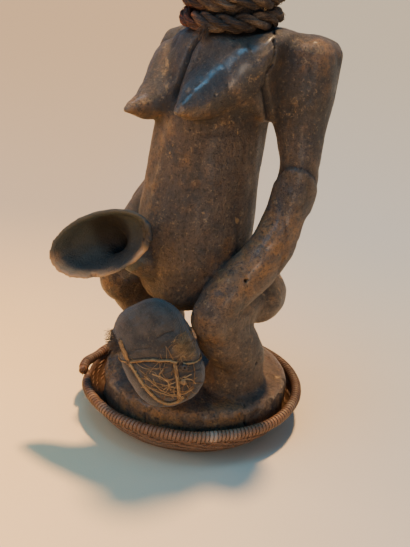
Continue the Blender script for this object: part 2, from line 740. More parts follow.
on_base = 1 - fade(skin[:, 2], 0.068, 0.080)
hollow = np.maximum(np.maximum(hollow * (1 - 0.9 * on_base), cracked), 0.85 * shaded)
ochre = np.zeros(len(skin))
for middle, radius, strength in OCHRE_PLACES:
    ochre += strength * (1 - fade(distance_to(skin, middle), radius * 0.2, radius))
ochre = np.clip(ochre + 0.45 * unevenness(skin, 0.013, 4, seed=43) - 0.1, 0, 1)
inside = ((skin - TRUMPET_MOUTH) * outward).sum(axis=1) < 0
bowl = near_mouth * inside * fade(outward @ TRUMPET_AXIS, -0.1, 0.2) * (height_in_mouth < -0.002)
bowl *= fade(-skin[:, 1], 0.090, 0.100)
tan_lip = fade(skin[:, 0], 0.000, 0.020) * (1 - fade(skin[:, 2], 0.258, 0.276))
tan_lip = np.maximum(1 - fade(skin[:, 2], 0.210, 0.230), tan_lip)
upper_lip = near_mouth * fade(height_in_mouth, -0.012, -0.006) * (1 - tan_lip)
rubbed *= 1 - 0.9 * upper_lip
bowl = np.maximum(bowl, 0.9 * upper_lip)
from_throat = skin - TRUMPET_MOUTH - (0, 0, SHADE_RISE)
from_throat -= (from_throat @ TRUMPET_AXIS)[:, None] * TRUMPET_AXIS
bore_shade = inside * (1 - fade(np.linalg.norm(from_throat, axis=1), 0.019, 0.034))
bore_shade *= fade(-height_in_mouth, 0.010, 0.022)
# Soot and handling darkened what looks up, and all of the chest and shoulders. The
# forearms kept less of it.
sooted = fade(outward[:, 2], -0.05, 0.50) * fade(skin[:, 2], 0.090, 0.150)
sooted = np.maximum(sooted, fade(skin[:, 2], 0.360, 0.400))
sooted *= 1 - 0.7 * fade(np.abs(skin[:, 0]), 0.070, 0.080) * fade(skin[:, 2], 0.19, 0.21) * (
    1 - fade(skin[:, 2], 0.33, 0.35))
lip = near_mouth * fade(height_in_mouth, -0.010, -0.005) * tan_lip
for label, values in (("rubbed", rubbed), ("hollow", hollow), ("ochre", ochre),
                      ("bowl", bowl), ("bore_shade", bore_shade), ("lip", lip),
                      ("crust", crust), ("polished", polished), ("sooted", sooted)):
    store_value(figure.data, label, values)
    print(label, "mean", round(float(values.mean()), 3))

# %% [markdown]
# A skin this fine has more faces than one piece should have. Decimate takes out the ones
# that add least to the form, and carries the stored numbers over to the points that stay.

# %% Thinning the skin
triangles = sum(len(face.vertices) - 2 for face in figure.data.polygons)
if triangles > SKIN_TRIANGLES:
    thin = figure.modifiers.new("fewer faces", "DECIMATE")
    thin.ratio = SKIN_TRIANGLES / triangles
    apply_modifiers(figure)
shade_smooth(figure.data)
print("figure:", len(figure.data.polygons), "faces from", triangles)
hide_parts("figure")
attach(figure, "root")

# %% [markdown]
# ## The finish of the wood
# The wood was stained and handled until it took a dark brown skin with a soft sheen. Ridges
# are rubbed brighter, knees and edges are worn to ochre wood, hollows keep black dirt and
# the trumpet's bowl has a dark blue-grey film. The numbers stored on the mesh place these,
# and the shared groups add grain, pits and dust over them.


# %% Patinated wood
def make_wood():
    material, tree, shader = start_material("patinated wood", (0.11, 0.075, 0.045))
    place = object_place(tree)

    def stored(label, share=1.0):
        value = stored_value(tree, label)
        return value if share == 1.0 else times(tree, value, share)

    grain = place_group(tree, grain_group, {"Stretch": 0.30, "Fineness": 420.0})
    pits = place_group(tree, pit_group, {"Spacing": 230.0, "Width": 0.26, "Coverage": 0.50})
    dust = place_group(tree, dust_group, {"Amount": 0.30, "Patches": 65.0})
    clouds = noise_at(tree, place, 22.0, 6.0, 0.60)
    stains = noise_at(tree, place, 70.0, 7.0, 0.70)
    crackle = noise_at(tree, place, 300.0, 6.0, 0.80, 0.3)
    flecks = noise_at(tree, place, 190.0, 8.0, 0.85, 0.5)
    patches = noise_at(tree, place, 48.0, 9.0, 0.72, 0.2)

    tan_flecks = times(tree, remap(tree, flecks, 0.535, 0.630, 0.0, 0.9),
                       remap(tree, patches, 0.38, 0.57, 0.30, 1.0))
    colour = blend_colours(tree, remap(tree, clouds, 0.42, 0.58),
                           (0.088, 0.056, 0.035, 1), (0.041, 0.037, 0.033, 1))
    colour = lay_over(tree, colour, (
        (remap(tree, stains, 0.35, 0.65, 0.0, 0.8), (0.101, 0.062, 0.037)),     # brown stain
        (stored("sooted", 0.88), (0.022, 0.021, 0.020)),
        (remap(tree, grain.outputs["Streaks"], 0.50, 0.70, 0.0, 0.35), (0.120, 0.078, 0.046)),
        (times(tree, stored("ochre"), remap(tree, stains, 0.36, 0.58, 0.10, 1.0)),
         (0.290, 0.135, 0.038)),
        (times(tree, stored("rubbed"), remap(tree, crackle, 0.35, 0.60, 0.1, 0.6)),
         (0.140, 0.100, 0.064)),
        (tan_flecks, (0.310, 0.205, 0.105)),
        (remap(tree, crackle, 0.49, 0.40, 0.0, 0.9), (0.018, 0.012, 0.008)),    # dark flecks
        (remap(tree, patches, 0.615, 0.665, 0.0, 0.8), (0.330, 0.200, 0.080)),  # bare wood
        (remap(tree, stains, 0.56, 0.68, 0.0, 0.55), (0.026, 0.018, 0.012)),    # oil blots
        (dust.outputs[0], (0.170, 0.150, 0.125)),
        (stored("bowl", 0.88), (0.026, 0.046, 0.052)),
        (stored("lip", 0.90), (0.410, 0.250, 0.125)),
        (stored("hollow", 0.92), (0.012, 0.008, 0.006)),
        (stored("bore_shade"), (0.002, 0.002, 0.002)),
        (stored("crust"), (0.010, 0.010, 0.010)),
        (times(tree, pits.outputs[0], 0.8), (0.012, 0.008, 0.006))))

    dull = calculate(tree, "MAXIMUM", stored("hollow"), dust.outputs[0])
    rough = add_shares(tree, remap(tree, clouds, 0.30, 0.70, 0.42, 0.56), (
        (dull, 0.35), (stored("rubbed"), -0.16), (stored("polished"), -0.12)))
    sheen = add_shares(tree, 0.04, ((stored("rubbed"), 0.40), (stored("polished"), 0.75)))
    fill_sockets(tree, shader, {"Coat Weight": sheen, "Coat Roughness": 0.27})
    height = add_shares(tree, grain.outputs["Fibres"], (
        (grain.outputs["Streaks"], 0.4), (stains, 0.8), (crackle, 2.2), (flecks, 1.2),
        (pits.outputs[0], -1.2)))
    finish_surface(tree, shader, colour, rough, height, 0.0012)
    return material


figure.data.materials.clear()
figure.data.materials.append(make_wood())

# %% [markdown]
# ## Strands
# Basket, rope and raffia are all long thin strands laid beside and over each other. Curve
# objects could draw them, but hundreds of them are easier to handle as one mesh. A strand
# is a path with an outward direction at each point, so a flat cane lies flat on what
# carries it. Each strand keeps the three numbers that the fibre group reads.


# %% Collecting strands in one mesh
def unit(vectors):
    return vectors / np.maximum(np.linalg.norm(vectors, axis=-1, keepdims=True), 1e-12)


class Strands:
    def __init__(self, sides=6):
        self.sides = sides
        self.points, self.faces, self.values = [], [], []
        self.count = 0

    def add(self, path, outward, wide, thick, own, closed=False):
        """Adds a strand; wide and thick are half sizes, one number or one for each point."""
        path = np.asarray(path, dtype=float)
        if closed:
            along = np.roll(path, -1, axis=0) - np.roll(path, 1, axis=0)
        else:
            along = np.gradient(path, axis=0)
        along = unit(along)
        side = unit(np.cross(along, outward))
        out = np.cross(side, along)
        turn = np.arange(self.sides) / self.sides
        wide = np.broadcast_to(wide, len(path))[:, None, None]
        thick = np.broadcast_to(thick, len(path))[:, None, None]
        across = np.cos(2 * np.pi * turn)[None, :, None]
        rise = np.sin(2 * np.pi * turn)[None, :, None]
        rings = path[:, None] + side[:, None] * wide * across + out[:, None] * thick * rise

        rows = len(path) if closed else len(path) - 1
        row = np.arange(rows)[:, None] * self.sides
        after = (np.arange(rows)[:, None] + 1) % len(path) * self.sides
        here = np.arange(self.sides)[None, :]
        beside = (here + 1) % self.sides
        quads = np.stack([row + here, row + beside, after + beside, after + here], axis=-1)
        self.faces += (quads.reshape(-1, 4) + self.count).tolist()
        if not closed:
            last = self.count + (len(path) - 1) * self.sides
            self.faces.append([self.count + k for k in reversed(range(self.sides))])
            self.faces.append([last + k for k in range(self.sides)])

        steps = np.linalg.norm(np.diff(path, axis=0), axis=1)
        run = np.concatenate([[0], np.cumsum(steps)])
        own = np.broadcast_to(own, len(path))
        self.points.append(rings.reshape(-1, 3))
        self.values.append(np.stack([
            np.repeat(run, self.sides), np.tile(turn, len(path)), np.repeat(own, self.sides)]))
        self.count += len(path) * self.sides

    def make(self, name, material):
        piece = new_piece(name, np.concatenate(self.points), self.faces, material)
        run, turn, own = np.concatenate(self.values, axis=1)
        for label, values in (("run", run), ("turn", turn), ("own", own)):
            store_value(piece.data, label, values)
        print(name, len(self.faces), "faces")
        return piece


# %% [markdown]
# ## The basket
# The basket is a tray of thin cane. Upright stakes fan out from the bottom, flat weavers
# pass in front of two and behind two of them, shifted by one in each row, and the rim is a
# bundle of rods wrapped with cane strips. A bump texture would show a weave only from
# far off, so every weaver and every wrap is its own strand here.

# %% Sizes of the basket
RIM_RADIUS = 0.135
RIM_HEIGHT = 0.039
RIM_TUBE = 0.007
FOOT_RADIUS = 0.110
OVAL_SHARE = 0.02
OVAL_TURN = math.radians(42)
LAP_TURN = math.radians(222)
LAP_RISE = 0.005
WALL_UP = (0, 0.28, 0.62, 1)    # places up the wall, and how far it bows out at each
WALL_OUT = (0, 0.42, 0.76, 1)
STAKES = 104
STAKE_HALF = (0.0017, 0.0005)   # half width and half thickness
WEAVERS = 15
WEAVER_HALF = (0.00150, 0.00100)
WEAVE_DEPTH = 0.00125           # how far a weaver passes in front of and behind the stakes
WEAVER_SWAY = 0.010
WRAPS = 176
SPARE_WRAPS = 40                # the lapped end goes past a full turn
LAP_FADE = 0.30                 # radians over which the hidden start comes up
TUCKED_THINNER = 0.35


def oval(turn):
    return 1 + OVAL_SHARE * np.cos(2 * (turn - OVAL_TURN))


def wall_place(turn, share, out=0.0):
    """A point of the bowed wall: share 0 at the foot and 1 under the rim, out from its middle."""
    bow = np.interp(share, WALL_UP, WALL_OUT)
    radius = (FOOT_RADIUS - 0.002) + (RIM_RADIUS - 0.001 - FOOT_RADIUS) * bow
    height = 0.0026 + (RIM_HEIGHT - 0.005) * share ** 1.15
    radius = radius * oval(turn) + out
    return np.stack([radius * np.cos(turn), radius * np.sin(turn), height + 0 * turn], axis=-1)


# %% Cane
def make_cane():
    material, tree, shader = start_material("old cane", (0.24, 0.12, 0.06))
    fibres = place_group(tree, fibre_group, {"Along": 75.0, "Around": 7.0})
    dust = place_group(tree, dust_group, {"Amount": 0.45, "Patches": 60.0})
    place = object_place(tree)
    patches = noise_at(tree, place, 24.0, 5.0, 0.6)
    tones = add(tree, "ShaderNodeValToRGB", {0: fibres.outputs["Own"]})
    ramp = tones.color_ramp
    ramp.elements[0].color = (0.070, 0.030, 0.014, 1)
    ramp.elements[1].color = (0.240, 0.120, 0.052, 1)
    for position, tone in ((0.30, (0.100, 0.043, 0.020, 1)), (0.55, (0.140, 0.052, 0.020, 1)),
                           (0.80, (0.170, 0.082, 0.036, 1))):
        ramp.elements.new(position).color = tone
    streaks = remap(tree, fibres.outputs["Fibres"], 0.34, 0.66)
    pale = times(tree, stored_value(tree, "bleached"), remap(tree, patches, 0.35, 0.6, 0.3, 1.0))
    rightward = remap(tree, place_along(tree, place, TO_RIGHT), 0.03, 0.10, 0.0, 0.5)
    frontward = remap(tree, place_along(tree, place, TO_FRONT), 0.04, 0.11, 0.0, 0.45)
    colour = lay_over(tree, tones.outputs[0], (
        (remap(tree, fibres.outputs["Blotches"], 0.35, 0.7, 0.0, 0.55), (0.085, 0.042, 0.022)),
        (remap(tree, streaks, 0.0, 1.0, 0.45, 0.0), (0.030, 0.015, 0.008)),
        (remap(tree, patches, 0.56, 0.70, 0.0, 0.6), (0.220, 0.140, 0.078)),
        (pale, (0.420, 0.330, 0.245)), (dust.outputs[0], (0.190, 0.140, 0.100)),
        (rightward, (0.040, 0.022, 0.012)), (frontward, (0.300, 0.150, 0.075))))
    rough = remap(tree, fibres.outputs["Fibres"], 0.3, 0.7, 0.66, 0.42)
    finish_surface(tree, shader, colour, rough, fibres.outputs["Fibres"], 0.0006)
    return material


cane = make_cane()

# %% Weaving the wall
rows = Strands(sides=6)
steps = STAKES * 4
row_turn = np.arange(steps) / steps * 2 * np.pi
for row in range(WEAVERS):
    share = (row + 0.5) / WEAVERS
    wave = np.sin(row_turn * STAKES / 4 + row * np.pi / 2)      # over two stakes, under two
    wave = np.clip(1.7 * wave, -1, 1)
    sway = share + WEAVER_SWAY * unevenness(
        np.stack([row_turn * 3, 0 * row_turn + row, 0 * row_turn], axis=1), 0.8, 2, seed=50)
    path = wall_place(row_turn, np.clip(sway, 0, 1), WEAVE_DEPTH * wave)
    outward = unit(path * (1, 1, 0)) + (0, 0, -0.35)
    tone = 0.5 + 0.5 * unevenness(path, 0.03, 2, seed=51 + row)
    rows.add(path, outward, *WEAVER_HALF, np.clip(tone, 0, 1), closed=True)
weave = rows.make("basket_weave", cane)

stakes = Strands(sides=4)
for number in range(STAKES):
    turn = (number + 0.5) / STAKES * 2 * np.pi
    share = np.linspace(0, 1, 7)
    path = wall_place(np.full(7, turn), share)
    stakes.add(path, unit(path * (1, 1, 0)), *STAKE_HALF, rng.random())
stake_piece = stakes.make("basket_stakes", cane)

# %% [markdown]
# Between the strands one would look through the wall, so a thin skin of the inner rods
# closes it. The flat bottom is a plaited mat. Its strips cross at right angles, and a
# height pattern on a fine grid shapes them, because only its underside ever shows.


# %% Inner skin and plaited bottom
def turned_piece(name, profile, material, sides=160):
    """A closed skin turned about the basket's axis, from [radius, height] corners."""
    turn = np.arange(sides) / sides * 2 * np.pi
    radius, height = np.array(profile).T
    grid = radius[:, None] * oval(turn)[None, :]
    points = np.stack([grid * np.cos(turn), grid * np.sin(turn),
                       np.repeat(height[:, None], sides, axis=1)], axis=-1)
    ring = np.arange(len(profile))[:, None] * sides
    after = np.roll(ring, -1, axis=0)
    here = np.arange(sides)[None, :]
    beside = (here + 1) % sides
    faces = np.stack([ring + here, ring + beside, after + beside, after + here], axis=-1)
    return new_piece(name, points.reshape(-1, 3), faces.reshape(-1, 4).tolist(), material)


inner = [(FOOT_RADIUS - 0.0035, 0.0022), (0.1155, 0.0085), (0.1235, 0.0175), (0.1300, 0.0300),
         (0.1325, 0.0390), (0.1300, 0.0390), (0.1285, 0.0300), (0.1220, 0.0180),
         (0.1140, 0.0092), (FOOT_RADIUS - 0.0055, 0.0050)]
lining = turned_piece("basket_lining", inner, cane)

STRIP = 0.0065
GRID = 150                      # points along each side of the mat
MAT_THICK = 0.0050
line = np.linspace(-1, 1, GRID)
across, down = np.meshgrid(line, line)
flat_r = np.maximum(np.abs(across), np.abs(down))
round_r = np.hypot(across, down)
squeeze = np.where(round_r > 0, flat_r / np.maximum(round_r, 1e-9), 1)
mat_x = across * squeeze * (FOOT_RADIUS - 0.001)
mat_y = down * squeeze * (FOOT_RADIUS - 0.001)
over = np.sin(np.pi * (mat_x + mat_y) / (2 * STRIP)) > 0
strip_x = np.abs(np.sin(np.pi * mat_x / STRIP)) ** 0.5
strip_y = np.abs(np.sin(np.pi * mat_y / STRIP)) ** 0.5
low = 0.0012 * (1 - np.where(over, strip_x, strip_y)) * (1 - flat_r ** 12)
mat_turn = np.arctan2(mat_y, mat_x)
bottom = np.stack([mat_x * oval(mat_turn), mat_y * oval(mat_turn), low], axis=-1).reshape(-1, 3)
top = bottom * (1, 1, 0) + (0, 0, MAT_THICK)
index = np.arange(GRID * GRID).reshape(GRID, GRID)
a, b, c, d = index[:-1, :-1], index[:-1, 1:], index[1:, 1:], index[1:, :-1]
under = np.stack([a, d, c, b], axis=-1).reshape(-1, 4)
upper = under[:, ::-1] + len(bottom)
edge = np.concatenate([index[0], index[1:, -1], index[-1, -2::-1], index[-2:0:-1, 0]])
next_edge = np.roll(edge, -1)
wall = np.stack([edge, next_edge, next_edge + len(bottom), edge + len(bottom)], axis=-1)
mat = new_piece("basket_bottom", np.concatenate([bottom, top]),
                np.concatenate([under, upper, wall]).tolist(), cane)
strip_number = np.where(over, np.floor(mat_x / STRIP), np.floor(mat_y / STRIP) + 40).ravel()
store_value(mat.data, "own", np.tile((strip_number * 0.618) % 1, 2))
store_value(mat.data, "run", np.tile(np.where(over, mat_y, mat_x).ravel(), 2))
store_value(mat.data, "turn", np.tile(np.where(over, mat_x, mat_y).ravel() / STRIP, 2))

# %% [markdown]
# The rim's rods are wrapped edge to edge with cane. Its end is lapped over the start at the
# left and stands a little proud there, cut off square. The wraps are one strip that winds
# round the rim's path, and each wrap gets a tone of its own.


# %% Wrapping the rim
def rim_place(turn):
    """Middle of the rim; turn runs from the hidden start to the proud end, past a full turn."""
    past_end = fade(turn, LAP_TURN + 2 * np.pi - 0.34, LAP_TURN + 2 * np.pi - 0.04)
    tucked = 1 - fade(turn, LAP_TURN, LAP_TURN + LAP_FADE)
    wobble = np.stack([np.cos(turn) * 3, np.sin(turn) * 3, 0 * turn], axis=-1)
    radius = RIM_RADIUS * oval(turn) + LAP_RISE * past_end - 0.0012 * tucked
    radius = radius + 0.0005 * unevenness(wobble, 1.3, 2, seed=61) - 0.0004
    height = RIM_HEIGHT + LAP_RISE * past_end - 0.0035 * tucked
    height = height + 0.0004 * unevenness(wobble, 1.1, 2, seed=62) - 0.0004
    return np.stack([radius * np.cos(turn), radius * np.sin(turn), height], axis=-1)


RIM_END = LAP_TURN + 2 * math.pi + 0.03
WRAP_STEPS = 14
STRIP_HALF = 0.00225
STRIP_THICK = 0.00065

wrap_turn = np.linspace(LAP_TURN, RIM_END, WRAPS * WRAP_STEPS)
middle = rim_place(wrap_turn)
forward = unit(np.gradient(middle, axis=0))
outside = unit(middle * (1, 1, 0))
upside = np.cross(outside, forward)
winding = (wrap_turn - LAP_TURN) * WRAPS
wrap_number = np.floor(winding / (2 * np.pi) + 0.25).astype(int)
tight = 1 - TUCKED_THINNER * (1 - fade(wrap_turn, LAP_TURN, LAP_TURN + LAP_FADE))
thickness = (RIM_TUBE - STRIP_THICK - 0.0004) * tight
thickness = thickness * (1 + 0.035 * (rng.random(WRAPS + SPARE_WRAPS) - 0.5)[wrap_number])
around = np.cos(winding)[:, None] * outside + np.sin(winding)[:, None] * upside
wrap_tone = np.clip(rng.normal(0.5, 0.24, WRAPS + SPARE_WRAPS), 0, 1)[wrap_number]
wraps = Strands(sides=6)
wraps.add(middle + around * thickness[:, None], around, STRIP_HALF, STRIP_THICK, wrap_tone)
rim = wraps.make("basket_rim", cane)
BLEACHED = [(325, 0.055, 1.0), (336, 0.04, 0.6), (262, 0.04, 0.5), (20, 0.06, 0.5)]
bleached = 0        # each place has its degrees, its half width in radians and its strength
for degrees, width, strength in BLEACHED:
    apart = (wrap_turn - math.radians(degrees) + np.pi) % (2 * np.pi) - np.pi
    bleached = bleached + strength * np.exp(-(apart / width) ** 2)
store_value(rim.data, "bleached", np.repeat(np.clip(bleached, 0, 1), wraps.sides))

rods = Strands(sides=10)
rod_turn = np.linspace(LAP_TURN - 0.02, RIM_END + 0.045, 260)
rod_size = 0.0054 * (1 - TUCKED_THINNER * (1 - fade(rod_turn, LAP_TURN, LAP_TURN + LAP_FADE)))
rods.add(rim_place(rod_turn), unit(rim_place(rod_turn) * (1, 1, 0)), rod_size, rod_size, 0.62)
rod_piece = rods.make("basket_rim_rods", cane)

fringe = Strands(sides=4)
end_middle = rim_place(np.array([RIM_END + 0.04]))[0]
end_forward = unit(rim_place(np.array([RIM_END + 0.05]))[0] - end_middle)
for _ in range(46):
    offset = rng.normal(0, 0.0022, 3)
    start = end_middle + offset - 0.004 * end_forward
    reach = rng.uniform(0.004, 0.0075)
    path = start + np.linspace(0, 1, 5)[:, None] * (end_forward * reach + rng.normal(0, 0.0005, 3))
    fringe.add(path, np.tile([0, 0, 1.0], (5, 1)), 0.0005, 0.0004, rng.uniform(0.5, 0.7))
fringe_piece = fringe.make("basket_rim_end", cane)

for piece in (weave, stake_piece, lining, mat, rim, rod_piece, fringe_piece):
    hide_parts("basket")
    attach(piece, "root")

# %% [markdown]
# ## The rope collar
# Plant fibre is rolled into yarns, the yarns into three thick strands, and the strands are
# laid into a rope. It goes nearly twice round the neck and climbs to the upper turn at the
# back. Every yarn here is a strand of its own that winds round its strand's middle, while
# the strand winds round the rope's path, so the deep grooves come from the lay itself.

# %% Sizes of the rope
NECK_MIDDLE = (0.0, 0.020)
ROPE_RING = 0.04807             # from the neck's middle to the rope's middle
ROPE_START = 130                # degrees
ROPE_TURNS = 1.8
ROPE_LOWEST = 0.496
ROPE_PITCH = 0.022
ROPE_DIP = math.radians(6)
ROPE_CLIMB = 0.83               # share of a turn after which it climbs to the next
ROPE_LAY = 5                    # strand turns for one turn round the neck
YARN_LAY = 9                    # yarn turns for one turn round the neck
STRANDS = 3
YARNS_ROUND = 7                 # yarns round the one in a strand's middle
STRAND_OFFSET = 0.0054
YARN_OFFSET = 0.0029
YARN_THICK = 0.00175
ROPE_STEPS = 300


# %% The rope's path
def rope_path(share):
    """Middle of the rope, the direction away from the neck, and upwards."""
    turns = ROPE_TURNS * np.asarray(share)
    turn = np.radians(ROPE_START + 360 * turns)
    climb = np.floor(turns) + fade(turns - np.floor(turns), ROPE_CLIMB, 1.0)
    forward = ROPE_RING * np.sin(turn)
    middle = np.stack([NECK_MIDDLE[0] + ROPE_RING * np.cos(turn), NECK_MIDDLE[1] + forward,
                       ROPE_LOWEST + ROPE_PITCH * climb + forward * math.tan(ROPE_DIP)], axis=1)
    along = unit(np.gradient(middle, axis=0))
    away = unit(np.stack([np.cos(turn), np.sin(turn), np.zeros_like(turn)], axis=1))
    return middle, away, np.cross(along, away)


def in_section(away, up, turn, radius):
    radius = np.broadcast_to(radius, len(away))[:, None]
    return radius * (away * np.cos(turn)[:, None] + up * np.sin(turn)[:, None])


# %% Laying the yarns
share = np.linspace(0, 1, ROPE_STEPS)
middle, away, rope_up = rope_path(share)
taper = 0.72 + 0.28 * fade(np.minimum(share, 1 - share), 0.0, 0.02)
yarns = Strands(sides=7)
for strand in range(STRANDS):
    lay = 2 * np.pi * (ROPE_LAY * ROPE_TURNS * share + strand / STRANDS)
    lay = lay + 0.35 * unevenness(np.stack([share * 14, share * 0, share * 0], axis=1), 1.0, 2,
                                  seed=200 + strand)
    strand_middle = middle + in_section(away, rope_up, lay, STRAND_OFFSET * taper)
    outer = unit(strand_middle - middle)
    across = np.cross(unit(np.gradient(middle, axis=0)), outer)
    for yarn in range(YARNS_ROUND + 1):
        wind = 2 * np.pi * (yarn / YARNS_ROUND - YARN_LAY * ROPE_TURNS * share)
        slow = unevenness(np.stack([share * 30, share * 0 + yarn, share * 0], axis=1), 1.0, 2,
                          seed=210 + 9 * strand)
        offset = (YARN_OFFSET * (1 + 0.16 * slow) if yarn < YARNS_ROUND else 0.0) * taper
        path = strand_middle + in_section(outer, across, wind, offset)
        thick = YARN_THICK * taper * np.maximum(0.5, 1 + 0.22 * slow + 0.20 * rng.normal())
        yarns.add(path, unit(path - strand_middle + 1e-9), thick * 1.12, thick, rng.random())

# %% [markdown]
# The ends are seized with a few turns of thin cord so that they don't open. Dry fibre
# breaks and stands off everywhere, most of all at the front, where a tuft of loose ends
# hangs over the chest.

# %% Seized ends, loose fibres and the tuft
SEIZING_TURNS = 5
HAIRS = 260
TUFT_HAIRS = 34
TUFT_ROOT = np.array([0.016, -0.0355, 0.4865])
for place in (0.012, 0.988):
    seat, seat_away, seat_up = rope_path(np.linspace(place - 0.005, place + 0.005, 90))
    turn = np.linspace(0, 2 * np.pi * SEIZING_TURNS, 90)
    coil = seat + in_section(seat_away, seat_up, turn, 0.0092)
    yarns.add(coil, unit(coil - seat), 0.0008, 0.0008, rng.random())

for _ in range(HAIRS):
    at = rng.uniform(0.02, 0.97)
    seat, seat_away, seat_up = rope_path(np.linspace(at, at + 0.012, 8))
    turn = rng.uniform(0, 2 * np.pi) + np.linspace(0, 0.9, 8)
    lift = 0.0094 + 0.0028 * rng.random() * np.linspace(0, 1, 8) ** 1.5
    hair = seat + in_section(seat_away, seat_up, turn, lift)
    yarns.add(hair, unit(hair - seat), 0.00024, 0.00024, rng.random())

for _ in range(TUFT_HAIRS):
    aim = unit(np.array([rng.normal(-0.2, 0.55), -0.75, rng.normal(-0.25, 0.45)]))
    length = rng.uniform(0.006, 0.014)
    t = np.linspace(0, 1, 8)[:, None]
    hang = np.array([0.0, 0.0, -0.5 * length])
    hair = TUFT_ROOT + rng.normal(0, 0.0022, 3) + t * aim * length + t ** 2 * hang
    yarns.add(hair, np.tile([0.0, 0.0, 1.0], (8, 1)), 0.00035, 0.00028, rng.random())


# %% Rope fibre
def make_rope_fibre():
    material, tree, shader = start_material("twisted plant fibre", (0.14, 0.08, 0.05))
    fibres = place_group(tree, fibre_group, {"Along": 420.0, "Around": 26.0})
    place = object_place(tree)
    side = add(tree, "ShaderNodeSeparateXYZ", {0: place}).outputs["X"]
    redder = remap(tree, side, 0.022, -0.028)
    pale = blend_colours(tree, redder, (0.185, 0.128, 0.078, 1), (0.200, 0.042, 0.011, 1))
    dark = blend_colours(tree, redder, (0.034, 0.022, 0.015, 1), (0.040, 0.008, 0.003, 1))
    colour = blend_colours(tree, remap(tree, fibres.outputs["Fibres"], 0.36, 0.66), dark, pale)
    lively = remap(tree, fibres.outputs["Own"], 0.25, 0.95, 0.0, 0.6)
    colour = blend_colours(tree, lively, colour, (0.110, 0.060, 0.032, 1), "OVERLAY")
    soot = remap(tree, noise_at(tree, place, 48.0, 5.0), 0.44, 0.60, 0.0, 0.85)
    colour = lay_over(tree, colour, ((soot, (0.016, 0.010, 0.007)),))
    rough = remap(tree, fibres.outputs["Fibres"], 0.3, 0.7, 0.95, 0.62)
    finish_surface(tree, shader, colour, rough, fibres.outputs["Fibres"], 0.0006)
    return material


rope = yarns.make("rope_collar_laid", make_rope_fibre())
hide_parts("rope_collar")
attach(rope, "root")

# %% [markdown]
# ## The cloth bundle
# A charm of earth and leaves is tied in a piece of cloth and leans against the left leg. A
# plain egg shape would look cast, so a slightly smaller bag goes through the cloth
# simulation with a little pressure inside. On a bag of this size that pressure is too weak to
# count: the printed mean is about 0.01 mm. The bag's form therefore comes from the rounded
# outline below and from the plain scaling after the simulation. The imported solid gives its
# place and size.

# %% Place and sizes of the bundle
PACKET_MIDDLE = np.array([0.0385, -0.1015, 0.126])
PACKET_HALF = (0.060, 0.042, 0.033)         # along, across and through
PACKET_SQUARE = 2.8
PACKET_TURN, PACKET_LEAN, PACKET_BACK = (math.radians(angle) for angle in (42, 30, 15))
START_SHARE = 0.95                          # the bag is cut a little small
BAG_LEVELS, BAG_SIDES = 24, 44
BAG_STEP = 0.0045                           # width of one face of the simulated cloth
SWELL_PRESSURE = 4.0
SWELL_FRAMES = 20
CLOTH_CAP = 0.006                           # how far the pressure may move a point
BAG_FULLNESS = (1.06, 1.06, 1.0)            # size of the full bag, as shares of the halves
BAG_SHIFT = (0.0025, -0.0015, 0)

packet_level = np.array([math.cos(PACKET_TURN), math.sin(PACKET_TURN), 0])
packet_front = np.array([math.sin(PACKET_TURN), -math.cos(PACKET_TURN), 0])
packet_long = unit(np.array([0, 0, 1]) - math.tan(PACKET_LEAN) * packet_level
                   - math.tan(PACKET_BACK) * packet_front)
packet_thick = unit(packet_front - packet_front @ packet_long * packet_long)
packet_wide = np.cross(packet_thick, packet_long)       # towards the picture's left


# %% Cutting and filling the bag
def bag_shape(levels, sides):
    rows = np.sin(np.linspace(-1, 1, levels + 1)[1:-1] * np.pi / 2)
    turn = np.arange(sides) / sides * 2 * np.pi
    power = 2 / PACKET_SQUARE
    across = np.sign(np.cos(turn)) * np.abs(np.cos(turn)) ** power
    through = np.sign(np.sin(turn)) * np.abs(np.sin(turn)) ** power
    size = (1 - np.abs(rows) ** PACKET_SQUARE) ** (1 / PACKET_SQUARE)
    half_long, half_wide, half_thick = (START_SHARE * half for half in PACKET_HALF)
    points = (PACKET_MIDDLE + rows[:, None, None] * half_long * packet_long
              + size[:, None, None] * (across[None, :, None] * half_wide * packet_wide
                                       + through[None, :, None] * half_thick * packet_thick))
    faces = []
    for row in range(len(rows) - 1):
        for k in range(sides):
            after = (k + 1) % sides
            faces.append([row * sides + k, row * sides + after,
                          (row + 1) * sides + after, (row + 1) * sides + k])
    faces.append(list(reversed(range(sides))))
    faces.append([(len(rows) - 1) * sides + k for k in range(sides)])
    return points.reshape(-1, 3), faces


def blow_up(piece, pressure, cap):
    """Simulates the cloth under pressure; no point moves further than cap."""
    start = points_of(piece.data)
    cloth = piece.modifiers.new("stuffing", "CLOTH")
    cloth.settings.use_pressure = True
    cloth.settings.uniform_pressure_force = pressure
    cloth.settings.effector_weights.gravity = 0
    cloth.point_cache.frame_end = SWELL_FRAMES
    for number in range(1, SWELL_FRAMES + 1):
        bpy.context.scene.frame_set(number)
    seen = piece.evaluated_get(bpy.context.evaluated_depsgraph_get())
    moved = points_of(seen.data) - start
    piece.modifiers.clear()
    bpy.context.scene.frame_set(1)
    length = np.linalg.norm(moved, axis=1)
    share = np.minimum(1, cap / np.maximum(length, 1e-9))
    move_points(piece.data, start + moved * share[:, None])
    return length


bag_points, bag_faces = bag_shape(BAG_LEVELS, BAG_SIDES)
bag = new_piece("bag_cut", bag_points, bag_faces, None)
packet = voxel_skin(bag, "charm_bundle_cloth", BAG_STEP)
bpy.data.objects.remove(bag)
swelling = blow_up(packet, SWELL_PRESSURE, CLOTH_CAP)
print("the bag swelled by", round(float(swelling.mean() * 1000), 2), "mm")
